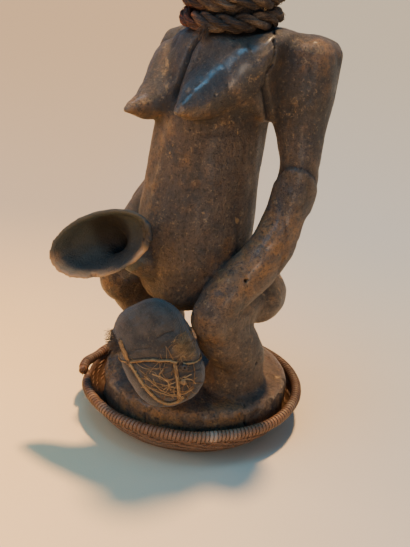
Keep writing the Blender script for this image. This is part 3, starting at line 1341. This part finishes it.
# A plain scaling brings the bag to its size in each direction.
bag_now = points_of(packet.data) - PACKET_MIDDLE
for direction, half, fuller, shift in zip((packet_long, packet_wide, packet_thick),
                                          PACKET_HALF, BAG_FULLNESS, BAG_SHIFT):
    reached = bag_now @ direction
    stretch = 2 * fuller * half / (reached.max() - reached.min())
    bag_now += ((stretch - 1) * reached + shift)[:, None] * direction
move_points(packet.data, bag_now + PACKET_MIDDLE)
finer = packet.modifiers.new("finer", "SUBSURF")
finer.levels = 2
apply_modifiers(packet)
print("bag:", len(packet.data.vertices), "points")

# %% [markdown]
# The cords are placed on the bag by two numbers in millimetres: across it, positive to the
# left of the picture, and along it, positive upwards. A ray shot at the bag from the front
# finds the cloth below each point. Cords that go behind are found by rays in a plane.

# %% Finding the cloth
RAY_FRONT, RAY_ROUND = 0.08, 0.12           # how far off the middle the rays start


def cloth_tree():
    faces = [tuple(face.vertices) for face in packet.data.polygons]
    return BVHTree.FromPolygons([Vector(p) for p in points_of(packet.data)], faces)


def hit_cloth(origin, way, instead, lift):
    """Where a ray meets the cloth, lifted off it a little, and the cloth's direction there.

    A ray that misses takes the nearest cloth to the place given instead."""
    place, normal, _, _ = cloth_now.ray_cast(Vector(origin), Vector(way))
    if place is None:
        place, normal, _, _ = cloth_now.find_nearest(Vector(instead))
    return np.array(place) + lift * np.array(normal), np.array(normal)


def on_cloth(places, steps=40, lift=0.0004):
    """Points on the bag's front and their outward directions."""
    hits = []
    for across, along in smooth_path(places, steps) / 1000:
        origin = (PACKET_MIDDLE + across * packet_wide + along * packet_long
                  + RAY_FRONT * packet_thick)
        hits.append(hit_cloth(origin, -packet_thick, origin - RAY_FRONT * packet_thick, lift))
    found, outward = zip(*hits)
    return np.array(found), np.array(outward)


def round_cloth(tilt, offset, start, end, steps=110, lift=0.0004, seed=0):
    """A line round the bag in a tilted plane; 90 degrees is the front, 0 the left."""
    first = math.cos(math.radians(tilt)) * packet_wide + math.sin(math.radians(tilt)) * packet_long
    normal_way = np.cross(first, packet_thick)
    centre = PACKET_MIDDLE - offset / 1000 * normal_way
    hits = []
    wobble = unevenness(np.stack([np.linspace(0, 9, steps)] * 3, axis=1), 1.0, 2, seed=seed)
    for number, turn in enumerate(np.radians(np.linspace(start, end, steps))):
        way = math.cos(turn) * first + math.sin(turn) * packet_thick
        origin = centre + RAY_ROUND * way + 0.0012 * wobble[number] * normal_way
        hits.append(hit_cloth(origin, -way, centre, lift))
    found, outward = zip(*hits)
    return np.array(found), np.array(outward)


CORDS = {       # places, half width, points, depth of its bite, loose strips beside it
    "level": ([(28, 11), (16, 9), (7, 7), (-6, 1), (-17, -4), (-24, -10)],
              0.0018, 90, 0.0026, 14),
    "upright": ([(-22, -8), (-19, -18), (-16, -28), (-12, -38), (-7, -51)],
                0.0022, 70, 0.0024, 16),
    "low": ([(26, 11), (25, -2), (23, -14), (21, -28), (16, -43), (9, -52), (-3, -54),
             (-12, -50)], 0.0022, 110, 0.0020, 30),
    "inner": ([(16, -9), (10, -22), (5, -34), (-3, -43), (-14, -47), (-25, -46)],
              0.0008, 70, 0.0009, 0),
    "left": ([(25, 37), (27, 32), (26, 22), (27, 11)], 0.0010, 60, 0.0, 0),
}
LOOPS = {       # tilt, offset in millimetres, start and end; half width, depth of its bite
    "level": ((23.7, 1.5, 45, -219), 0.0014, 0.0022),
    "upright": ((-71, -22.8, -8, -168), 0.0014, 0.0022),
    "low": ((20, -26, -12, -165), 0.0010, 0.0),
}
cloth_now = cloth_tree()
print("cords:", len(CORDS), "in front,", len(LOOPS), "round the back")

# %% [markdown]
# Tight cords bite into the filling, the cloth puckers beside them and a few sharp folds
# cross the plain upper half. The nearest cord decides how deep each point is pressed in.

# %% Bites, puckers and folds
cloth_points = points_of(packet.data)
cloth_out = normals_of(packet.data)
BITE_REACH = 0.0048             # how far beside a cord the cloth is drawn in
FULL_BITE = 0.0022
lines = [(on_cloth(places, 24)[0], deep) for places, _, _, deep, _ in CORDS.values() if deep]
lines += [(round_cloth(*loop, 60)[0], deep) for loop, _, deep in LOOPS.values() if deep]
bite = np.zeros(len(cloth_points))
for line, deep in lines:
    away, _ = distance_to_line(cloth_points, line)
    bite = np.maximum(bite, deep * np.exp(-(away / BITE_REACH) ** 2))
from_middle = cloth_points - PACKET_MIDDLE
flat_place = np.stack([from_middle @ way for way in (packet_wide, packet_long, packet_thick)],
                      axis=1)
puckers = unevenness(flat_place * (0.45, 1.3, 0.45), 0.0075, 2, seed=61)
bulges = unevenness(flat_place, 0.022, 2, seed=62)
press = bite + 0.0004 - 0.0009 * bulges - 0.0005 * puckers
folds = np.zeros(len(cloth_points))
for places, half in (([(-17, 25), (-26, 26), (-35, 24)], 0.0011),
                     ([(-36, -27), (-41, -30)], 0.0009),
                     ([(22, 21), (10, 22), (-4, 18)], 0.0007)):
    line, _ = on_cloth(places, 16)
    away, share = distance_to_line(cloth_points, line)
    folds = np.maximum(folds, 1 - fade(away, half * 0.3, half * 1.5))
press += 0.0012 * folds
move_points(packet.data, cloth_points - cloth_out * press[:, None])
store_value(packet.data, "bite", np.clip(bite / FULL_BITE, 0, 1))
store_value(packet.data, "fold", folds)
shade_smooth(packet.data)
cloth_now = cloth_tree()
print("deepest bite:", round(float(bite.max() * 1000), 1), "mm")

# %% [markdown]
# The cloth is plain weave, worn thin and soaked with earth and oil. Two sets of fine waves
# at right angles make the weave, and noise patches carry soot, ochre and dust. The golden
# patch is a place where raffia broke down to fluff.


# %% Soiled cloth
GOLDEN_PLACE = (PACKET_MIDDLE - 0.036 * packet_wide + 0.001 * packet_long
                + 0.018 * packet_thick)
WARP_STEP, WEFT_STEP = 0.0011, 0.0012


def make_soiled_cloth():
    material, tree, shader = start_material("soiled charm cloth", (0.06, 0.05, 0.04))
    place = object_place(tree)

    def threads(direction, period):
        turn = times(tree, place_along(tree, place, direction / period), 2 * math.pi)
        return calculate(tree, "MULTIPLY_ADD", calculate(tree, "SINE", turn), 0.5, 0.5)

    weave = times(tree, threads(packet_wide, WARP_STEP), threads(packet_long, WEFT_STEP))
    grime = noise_at(tree, place, 60.0, 7.0, 0.66)
    crumbs = noise_at(tree, place, 430.0, 4.0, 0.7)
    dust = place_group(tree, dust_group, {"Amount": 0.55, "Patches": 90.0})
    apart = add(tree, "ShaderNodeVectorMath", {0: place, 1: tuple(GOLDEN_PLACE)},
                operation="DISTANCE").outputs["Value"]
    golden = times(tree, remap(tree, apart, 0.020, 0.008),
                   remap(tree, grime, 0.40, 0.60, 0.35, 1.0))
    shadow = calculate(tree, "MAXIMUM", times(tree, stored_value(tree, "fold"), 0.6),
                       times(tree, stored_value(tree, "bite"), 0.55))
    colour = blend_colours(tree, remap(tree, grime, 0.36, 0.64),
                           (0.022, 0.017, 0.012, 1), (0.062, 0.047, 0.033, 1))
    colour = lay_over(tree, colour, (
        (remap(tree, crumbs, 0.54, 0.70, 0.0, 0.7), (0.120, 0.082, 0.048)),
        (times(tree, weave, 0.25), (0.130, 0.105, 0.080)), (golden, (0.300, 0.165, 0.055)),
        (dust.outputs[0], (0.088, 0.086, 0.080)), (shadow, (0.012, 0.009, 0.007))))
    fill_sockets(tree, shader, {"Sheen Weight": 0.25, "Sheen Roughness": 0.5})
    height = add_shares(tree, weave, ((crumbs, 1.6), (grime, 2.0)))
    finish_surface(tree, shader, colour, 0.90, height, 0.0004)
    return material


packet.data.materials.clear()
packet.data.materials.append(make_soiled_cloth())
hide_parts("charm_bundle")
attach(packet, "root")

# %% [markdown]
# ## The raffia binding
# Dried palm leaf is split into flat strips. One cord crosses the bag and turns down its
# right side, another follows the lower edge, and many finer strips and broken fibres lie
# over the lower half, knotted at the left. The lines go on round the back, because a
# cord that only shows in front would hold nothing.

# %% Cords and strips
raffia = Strands(sides=6)


def lay_cord(line, outward, wide, seed, plies=2, own=None):
    """A cord of a few twisted strips along a line."""
    steps = len(line)
    along = unit(np.gradient(line, axis=0))
    side = unit(np.cross(along, outward))
    length = np.concatenate([[0], np.cumsum(np.linalg.norm(np.diff(line, axis=0), axis=1))])
    for ply in range(plies):
        turn = 2 * np.pi * (ply / plies + length / 0.011) + 0.6 * unevenness(
            np.stack([length, length * 0, length * 0], axis=1), 0.006, 2, seed=seed + ply)
        shift = 0.42 * wide * (side * np.cos(turn)[:, None]
                               + outward * (0.75 + 0.75 * np.sin(turn))[:, None])
        ragged = 1 + 0.22 * unevenness(np.stack([length] * 3, axis=1), 0.005, 2, seed=seed + 7)
        shade = rng.random() if own is None else own
        raffia.add(line + shift + 0.0003 * outward, outward, wide * 0.62 * ragged,
                   wide * 0.42, shade)


for number, (places, wide, steps, _, _) in enumerate(CORDS.values()):
    lay_cord(*on_cloth(places, steps), wide, 300 + 10 * number, plies=3)
for number, (loop, wide, _) in enumerate(LOOPS.values()):
    lay_cord(*round_cloth(*loop, seed=71 + number), wide, 370 + 10 * number)

for places, _, _, _, count in CORDS.values():
    for _ in range(count):
        first, last = sorted(rng.uniform(0, 1, 2))
        last = min(1.0, last + 0.25)
        path = smooth_path(places, 60)[int(first * 40):max(int(first * 40) + 8, int(last * 60))]
        line, outward = on_cloth(path + rng.normal(0, 0.7, 2) + rng.normal(0, 0.25, path.shape),
                                 30, lift=rng.uniform(0.0008, 0.0030))
        raffia.add(line, outward, rng.uniform(0.0003, 0.0008), 0.0003, rng.random())

STRIPS = (      # places, half width
    ([(-21, 13), (-22, 6), (-22, -6)], 0.0006), ([(-42, -8), (-37, -10)], 0.0007),
    ([(-38, -20), (-36, -29), (-29, -41)], 0.0007), ([(-24, -29), (-32, -29)], 0.0007),
    ([(-8, -10), (-1, -13), (-2, -18), (-7, -24), (-14, -25)], 0.0009),
    ([(6, -10), (-2, -17), (-6, -26), (-4, -36)], 0.0008),
    ([(22, -16), (12, -30), (2, -41), (-8, -48)], 0.0007),
    ([(20, -10), (8, -20), (-4, -30), (-13, -40)], 0.0006),
    ([(-3, -36), (-10, -42), (-20, -45), (-28, -42)], 0.0006),
)
for places, wide in STRIPS:
    line, outward = on_cloth(places, 36, lift=0.0010)
    raffia.add(line, outward, wide, 0.0004, rng.random())

# %% [markdown]
# Fine fibres are strewn from a seeded random generator: over the lower half they follow
# the cords loosely, on the golden patch they stand up as fluff, and at the left edge they
# run down to the knot.

# %% Strewn fibres, knots and fluff
FEW = 1.0
STREWN, FLUFF, RUNNERS, FRAYS = (int(count * FEW) for count in (55, 130, 26, 150))
for _ in range(STREWN):
    across, along = rng.uniform(-32, 22), rng.uniform(-48, 2)
    way = math.radians(rng.choice([-18, 25, 60, -55]) + rng.normal(0, 16))
    reach = rng.uniform(6, 17)
    bend = rng.normal(0, 3.5)
    t = np.linspace(-1, 1, 5)
    line = np.stack([across + t * reach * math.cos(way) + bend * t ** 2 * math.sin(way),
                     along + t * reach * math.sin(way) - bend * t ** 2 * math.cos(way)], axis=1)
    line, outward = on_cloth(line, 20, lift=rng.uniform(0.0004, 0.0016))
    raffia.add(line, outward, rng.uniform(0.0002, 0.0005), 0.0002,
               rng.choice([-0.4, 0.0, 0.1, 0.3, 0.9]))

for _ in range(FLUFF):
    across, along = rng.normal(-36, 4.5), rng.normal(1, 8)
    way = rng.uniform(0, np.pi)
    reach = rng.uniform(2, 6)
    line = [(across - reach * math.cos(way), along - reach * math.sin(way)), (across, along),
            (across + reach * math.cos(way + 0.6), along + reach * math.sin(way + 0.6))]
    line, outward = on_cloth(line, 10, lift=0.0002)
    stand = np.linspace(0, 1, 10)[:, None] ** 2 * rng.uniform(0, 0.0022)
    raffia.add(line + outward * stand, outward, 0.00025, 0.0002, rng.random())

left_places = np.array(CORDS["left"][0])
for _ in range(RUNNERS):
    line = left_places + rng.normal(0, 1.7, left_places.shape)
    line, outward = on_cloth(line, 24, lift=rng.uniform(0.0004, 0.0018))
    raffia.add(line, outward, rng.uniform(0.0002, 0.0006), 0.00025, rng.random())


def tie_knot(across, along, radius, turns, wide, own=None):
    seat, outward = on_cloth([(across, along)], 1)
    seat = seat[0] + outward[0] * radius * 0.35
    t = np.linspace(0, 1, 30 * turns)
    turn = 2 * np.pi * turns * t
    rise = np.pi * (0.15 + 0.7 * (0.5 + 0.5 * np.sin(turn * 0.37)))
    ball = np.stack([np.cos(turn) * np.sin(rise), np.sin(turn) * np.sin(rise),
                     0.7 * np.cos(rise)], axis=1)
    line = seat + radius * (ball[:, :1] * packet_wide + ball[:, 1:2] * packet_long
                            + ball[:, 2:] * outward[0])
    raffia.add(line, unit(line - seat), wide, wide * 0.7, rng.random() if own is None else own)


tie_knot(27, 11, 0.0030, 5, 0.0009)
tie_knot(-28, -19, 0.0036, 7, 0.0011, own=-1.0)
tie_knot(-21, -33, 0.0028, 5, 0.0012)
tie_knot(-7, -50, 0.0026, 4, 0.0010)

# %% [markdown]
# Raffia is golden where it is fresh and brown where it took up oil. Each strip has its own
# shade, and fibres with a negative shade are the dark ones.


# %% Raffia finish
def make_raffia():
    material, tree, shader = start_material("dry raffia", (0.40, 0.26, 0.12))
    fibres = place_group(tree, fibre_group, {"Along": 260.0, "Around": 12.0})
    fine, blotches, own = (fibres.outputs[label] for label in ("Fibres", "Blotches", "Own"))
    colour = blend_colours(tree, remap(tree, own, 0.0, 1.0),
                           (0.150, 0.074, 0.026, 1), (0.400, 0.245, 0.100, 1))
    colour = lay_over(tree, colour, (
        (remap(tree, fine, 0.40, 0.62, 0.45, 0.0), (0.120, 0.065, 0.028)),
        (remap(tree, blotches, 0.52, 0.66, 0.0, 0.6), (0.150, 0.080, 0.032)),
        (remap(tree, own, -0.2, -0.6), (0.050, 0.036, 0.026))))
    rough = remap(tree, fine, 0.3, 0.7, 0.75, 0.5)
    finish_surface(tree, shader, colour, rough, fine, 0.0003)
    return material


# %% [markdown]
# The tie at the upper left frayed: short stiff fibres stand out from the cloth there. The
# whole binding is then made as one mesh.

# %% Frayed end at the upper left
for _ in range(FRAYS):
    seat, outward = on_cloth([(rng.uniform(28, 38), rng.uniform(26, 50))], 1)
    aim = unit(1.0 * packet_wide + rng.normal(0, 0.45) * packet_long
               + rng.normal(0.1, 0.4) * packet_thick)
    length = rng.uniform(0.004, 0.0115)
    t = np.linspace(0, 1, 7)[:, None]
    line = seat[0] + t * aim * length + t ** 2 * np.array([0, 0, rng.normal(-0.3, 0.3)]) * length
    raffia.add(line, np.tile(outward[0], (7, 1)), 0.00026, 0.00022, -1.0)

binding = raffia.make("raffia_strands", make_raffia())
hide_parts("raffia_binding")
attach(binding, "root")

# %% [markdown]
# ## Floor, light and camera
# A plain pale floor and soft lights show the surface without drawing attention to
# themselves. One strong warm light shines from nearly overhead. Two faint ones and two
# low lamps warm the sides and the front, and two cool windows and a dim blue room fill the
# shadows. The floor's own paint is warm at the left in front, greyer to the right and back.


# %% The floor
def make_floor_paint():
    material, tree, shader = start_material("pale studio floor", (0.80, 0.72, 0.60))
    place = object_place(tree)
    tint = remap(tree, noise_at(tree, place, 1.6, 4.0), 0.30, 0.70)
    fine = noise_at(tree, place, 420.0, 3.0)
    warm = blend_colours(tree, tint, (0.88, 0.60, 0.27, 1), (0.90, 0.64, 0.32, 1))
    cool = blend_colours(tree, tint, (0.41, 0.42, 0.41, 1), (0.44, 0.45, 0.44, 1))
    far_warm = (0.41, 0.36, 0.30, 1)
    far_cool = (0.32, 0.38, 0.45, 1)
    rightward = remap(tree, place_along(tree, place, TO_RIGHT), -0.35, 0.40)
    backward = remap(tree, place_along(tree, place, TO_FRONT), 0.05, -0.80)
    paint = blend_colours(tree, backward, blend_colours(tree, rightward, warm, cool),
                          blend_colours(tree, rightward, far_warm, far_cool))
    finish_surface(tree, shader, paint, remap(tree, fine, 0.3, 0.7, 0.72, 0.86), fine, 0.0002)
    return material


FLOOR_HALF = 14.0
corners = [(-FLOOR_HALF, -FLOOR_HALF, 0), (FLOOR_HALF, -FLOOR_HALF, 0),
           (FLOOR_HALF, FLOOR_HALF, 0), (-FLOOR_HALF, FLOOR_HALF, 0)]
floor = new_piece("studio_floor", corners, [(0, 1, 2, 3)], make_floor_paint())
floor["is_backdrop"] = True

# %% [markdown]
# The camera stands 42 degrees round from the front, looks 23 degrees down and is rolled a
# little, as a hand-held picture is. Its axes are written out as a matrix, so the picture's
# right and up are known directions. The lights use the same directions: across the
# picture, towards the camera, and up.

# %% Camera
CAMERA_PLACE = Vector((0.6166, -0.6752, 0.5780))
CAMERA_ROUND = math.radians(42)
CAMERA_DOWN = math.radians(23)
CAMERA_ROLL = math.radians(4.5)
FOCAL_LENGTH = 52.65            # millimetres
FILM_WIDTH = 36
VIEW_END = 60                   # metres

back = Vector((math.sin(CAMERA_ROUND) * math.cos(CAMERA_DOWN),
               -math.cos(CAMERA_ROUND) * math.cos(CAMERA_DOWN), math.sin(CAMERA_DOWN)))
right = Vector((math.cos(CAMERA_ROUND), math.sin(CAMERA_ROUND), 0))
up = back.cross(right)
picture_right = right * math.cos(CAMERA_ROLL) + up * math.sin(CAMERA_ROLL)
picture_up = up * math.cos(CAMERA_ROLL) - right * math.sin(CAMERA_ROLL)

lens = bpy.data.cameras.new("camera")
lens.lens = FOCAL_LENGTH
lens.sensor_width = FILM_WIDTH
lens.clip_end = VIEW_END
camera = bpy.data.objects.new("camera", lens)
bpy.context.scene.collection.objects.link(camera)
camera.matrix_world = Matrix(
    [(*row, place) for row, place in zip(zip(picture_right, picture_up, back), CAMERA_PLACE)]
    + [(0, 0, 0, 1)]
)
bpy.context.scene.camera = camera
print("camera to figure:", round((CAMERA_PLACE - Vector((0, 0, 0.3))).length, 3), "m")

# %% Lights
LIT_PLACE = Vector((0, -0.02, 0.22))
ROOM_TINT = (0.22, 0.57, 1.0, 1)
ROOM_STRENGTH = 0.34
towards = Vector((back.x, back.y, 0)).normalized()


def hang_light(name, kind, place, aim, power, colour, **settings):
    """Adds a light; place is across the picture, towards the camera and up, in metres."""
    light = bpy.data.lights.new(name, kind)
    light.energy = power
    light.color = colour
    for key, value in settings.items():
        setattr(light, key, value)
    across, near, height = place
    item = bpy.data.objects.new(name, light)
    item.location = right * across + towards * near + Vector((0, 0, height))
    item.rotation_euler = (aim - item.location).to_track_quat("-Z", "Y").to_euler()
    bpy.context.scene.collection.objects.link(item)


# A far light shines evenly on the whole floor; its spread in degrees softens the shadows.
for name, place, power, spread, colour in (
        ("warm ceiling light", (0.10, -0.30, 1.0), 7.4, 5, (1.0, 0.61, 0.26)),
        ("warm right light", (0.95, -0.50, 1.0), 0.10, 9, (1.0, 0.74, 0.48)),
        ("warm left light", (-0.90, -0.20, 1.0), 0.12, 12, (1.0, 0.62, 0.30))):
    hang_light(name, "SUN", place, Vector((0, 0, 0)), power, colour, angle=math.radians(spread))

# Lamps and windows are square soft lights aimed at the figure.
for name, place, size, power, colour in (
        ("low left lamp", (-2.3, -0.3, 0.42), 0.50, 18, (1.0, 0.50, 0.18)),
        ("low front lamp", (0.5, 2.1, 0.36), 0.90, 15, (1.0, 0.80, 0.62)),
        ("cool window", (-0.25, 0.15, 2.3), 0.90, 16, (0.20, 0.60, 1.0)),
        ("cool front window", (-1.3, 0.9, 1.5), 1.30, 13, (0.24, 0.64, 1.0))):
    hang_light(name, "AREA", place, LIT_PLACE, power, colour, shape="SQUARE", size=size)
print("lights:", len(bpy.data.lights))

world = bpy.data.worlds.new("soft room")
world.use_nodes = True
fill_sockets(world.node_tree, world.node_tree.nodes["Background"],
             {"Color": ROOM_TINT, "Strength": ROOM_STRENGTH})
bpy.context.scene.world = world

# %% [markdown]
# ## Checking the size
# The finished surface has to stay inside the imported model's box. Both boxes are written to
# a file, so they can be compared later.

# %% Write the sizes and finish
new_box = [list(corner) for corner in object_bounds()]
for axis, letter in enumerate("XYZ"):
    before = cad_box[1][axis] - cad_box[0][axis]
    after = new_box[1][axis] - new_box[0][axis]
    print(letter, "was", round(before, 4), "and is", round(after, 4))
